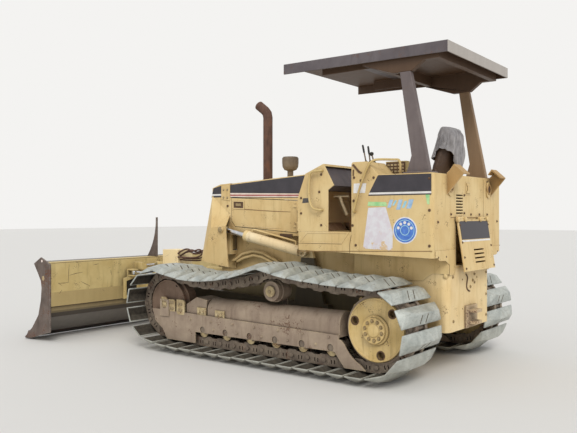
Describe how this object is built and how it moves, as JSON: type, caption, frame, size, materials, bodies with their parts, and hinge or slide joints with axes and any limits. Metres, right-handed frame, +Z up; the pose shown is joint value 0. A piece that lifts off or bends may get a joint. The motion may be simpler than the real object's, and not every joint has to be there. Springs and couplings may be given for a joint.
{
  "type": "crawler dozer",
  "caption": "Low-ground-pressure crawler dozer: wide ridge-shoe tracks, open canopy, angling and tilting front blade on an inside C-frame with lift cylinders.",
  "frame": {"origin": "on the ground under the middle of the overall box", "axes": "front towards -Y, the machine's left towards +X, +Z up"},
  "size_m": [2.85, 4.428, 2.622],
  "materials": {
    "yellow_paint": "worn satin machine paint",
    "dark_paint": "matt charcoal paint",
    "track_steel": "ground-polished steel",
    "brown_iron": "muddy brown iron",
    "rusted_iron": "rusted",
    "chrome": "hard chrome",
    "seat_cloth": "dusty grey cloth",
    "black_plastic": "matt",
    "lamp_glass": "clear lens",
    "radiator": "dusty fins"
  },
  "bodies": {
    "tractor": {"track_left": "track_steel", "track_right": "track_steel", "sprockets": "yellow_paint", "idlers": "brown_iron", "track_rollers": "brown_iron", "carrier_rollers": "brown_iron", "track_frame_left": "brown_iron", "track_frame_right": "brown_iron", "transmission_case": "yellow_paint", "final_drives": "yellow_paint", "drawbar_hitch": "brown_iron", "main_frame": "yellow_paint", "engine_block": "dark_paint", "hood": "yellow_paint", "radiator_guard": "yellow_paint", "front_grille": "dark_paint", "radiator_core": "radiator", "floor_platform": "yellow_paint", "cowl": "yellow_paint", "instrument_panel": "black_plastic", "fuel_tank_left": "yellow_paint", "side_box_right": "yellow_paint", "rear_body_panel": "yellow_paint", "lamp_guards": "yellow_paint", "rear_lamps": "lamp_glass", "control_levers": "black_plastic", "console_grille": "dark_paint", "grab_handles": "dark_paint", "seat_base": "dark_paint", "seat_cushion": "seat_cloth", "seat_backrest": "seat_cloth", "canopy_posts": "dark_paint", "canopy_roof": "dark_paint", "exhaust_stack": "rusted_iron", "precleaner": "black_plastic", "hydraulic_pipes": "dark_paint"},
    "engine_door_left": {"engine_door_left": "yellow_paint"},
    "engine_door_right": {"engine_door_right": "yellow_paint"},
    "rear_hatch": {"rear_hatch": "yellow_paint"},
    "c_frame": {"c_frame": "yellow_paint"},
    "blade_carrier": {"blade_carrier": "yellow_paint"},
    "lift_barrel_left": {"lift_barrel_left": "yellow_paint"},
    "lift_barrel_right": {"lift_barrel_right": "yellow_paint"},
    "lift_rod_left": {"lift_rod_left": "chrome"},
    "lift_rod_right": {"lift_rod_right": "chrome"},
    "angle_barrel_left": {"angle_barrel_left": "yellow_paint"},
    "angle_barrel_right": {"angle_barrel_right": "yellow_paint"},
    "angle_rod_left": {"angle_rod_left": "chrome"},
    "angle_rod_right": {"angle_rod_right": "chrome"},
    "tilt_barrel": {"tilt_barrel": "yellow_paint"},
    "tilt_rod": {"tilt_rod": "chrome"},
    "blade": {"blade": "yellow_paint", "cutting_edge": "track_steel", "blade_end_plates": "dark_paint", "blade_fin": "dark_paint"}
  },
  "joints": [
    {"name": "c_frame_lift", "type": "hinge", "parent": "tractor", "child": "c_frame", "pos_m": [0, 0.866, 0.42], "axis": [-1, 0, 0], "range_deg": [-8, 14]},
    {"name": "blade_angle", "type": "hinge", "parent": "c_frame", "child": "blade_carrier", "pos_m": [0, -1.634, 0.48], "axis": [0, 0, 1], "range_deg": [-25, 25]},
    {"name": "blade_tilt", "type": "hinge", "parent": "blade_carrier", "child": "blade", "pos_m": [0, -1.774, 0.48], "axis": [0, -1, 0], "range_deg": [-7, 7]},
    {"name": "engine_door_left_hinge", "type": "hinge", "parent": "tractor", "child": "engine_door_left", "pos_m": [0.4363, 0.61, 1.2775], "axis": [0, 0, 1], "range_deg": [0, 90]},
    {"name": "engine_door_right_hinge", "type": "hinge", "parent": "tractor", "child": "engine_door_right", "pos_m": [-0.4363, 0.61, 1.2775], "axis": [0, 0, -1], "range_deg": [0, 90]},
    {"name": "rear_hatch_hinge", "type": "hinge", "parent": "tractor", "child": "rear_hatch", "pos_m": [0, 2.087, 1.262], "axis": [1, 0, 0], "range_deg": [-9, 86]},
    {"name": "lift_barrel_left_pivot", "type": "hinge", "parent": "c_frame", "child": "lift_barrel_left", "pos_m": [0.485, 0.71, 0.954], "axis": [-1, 0, 0], "range_deg": [-18, 11]},
    {"name": "lift_rod_left_slide", "type": "slide", "parent": "lift_barrel_left", "child": "lift_rod_left", "axis": [0, -0.9801, 0.1983], "range_m": [-0.075, 0.13]},
    {"name": "angle_barrel_left_pivot", "type": "hinge", "parent": "c_frame", "child": "angle_barrel_left", "pos_m": [0.39, -0.804, 0.65], "axis": [0, 0, 1], "range_deg": [-2, 2]},
    {"name": "angle_rod_left_slide", "type": "slide", "parent": "angle_barrel_left", "child": "angle_rod_left", "axis": [0.0468, -0.9989, 0], "range_m": [-0.185, 0.185]},
    {"name": "lift_barrel_right_pivot", "type": "hinge", "parent": "c_frame", "child": "lift_barrel_right", "pos_m": [-0.485, 0.71, 0.954], "axis": [-1, 0, 0], "range_deg": [-18, 11]},
    {"name": "lift_rod_right_slide", "type": "slide", "parent": "lift_barrel_right", "child": "lift_rod_right", "axis": [0, -0.9801, 0.1983], "range_m": [-0.075, 0.13]},
    {"name": "angle_barrel_right_pivot", "type": "hinge", "parent": "c_frame", "child": "angle_barrel_right", "pos_m": [-0.39, -0.804, 0.65], "axis": [0, 0, 1], "range_deg": [-2, 2]},
    {"name": "angle_rod_right_slide", "type": "slide", "parent": "angle_barrel_right", "child": "angle_rod_right", "axis": [-0.0468, -0.9989, 0], "range_m": [-0.185, 0.185]},
    {"name": "tilt_barrel_pivot", "type": "hinge", "parent": "blade_carrier", "child": "tilt_barrel", "pos_m": [-0.3, -1.662, 0.72], "axis": [0, -1, 0], "range_deg": [-3.6, 3.6]},
    {"name": "tilt_rod_slide", "type": "slide", "parent": "tilt_barrel", "child": "tilt_rod", "axis": [1, 0, 0], "range_m": [-0.032, 0.032]}
  ],
  "couplings": [
    {"joint": "lift_barrel_left_pivot", "follows": "c_frame_lift", "ratio": -1.23},
    {"joint": "lift_rod_left_slide", "follows": "c_frame_lift", "m_per_rad": 0.505},
    {"joint": "angle_barrel_left_pivot", "follows": "blade_angle", "ratio": 0.0626},
    {"joint": "angle_rod_left_slide", "follows": "blade_angle", "m_per_rad": -0.416},
    {"joint": "lift_barrel_right_pivot", "follows": "c_frame_lift", "ratio": -1.23},
    {"joint": "lift_rod_right_slide", "follows": "c_frame_lift", "m_per_rad": 0.505},
    {"joint": "angle_barrel_right_pivot", "follows": "blade_angle", "ratio": 0.0626},
    {"joint": "angle_rod_right_slide", "follows": "blade_angle", "m_per_rad": 0.416},
    {"joint": "tilt_barrel_pivot", "follows": "blade_tilt", "ratio": 0.5},
    {"joint": "tilt_rod_slide", "follows": "blade_tilt", "m_per_rad": -0.24}
  ]
}
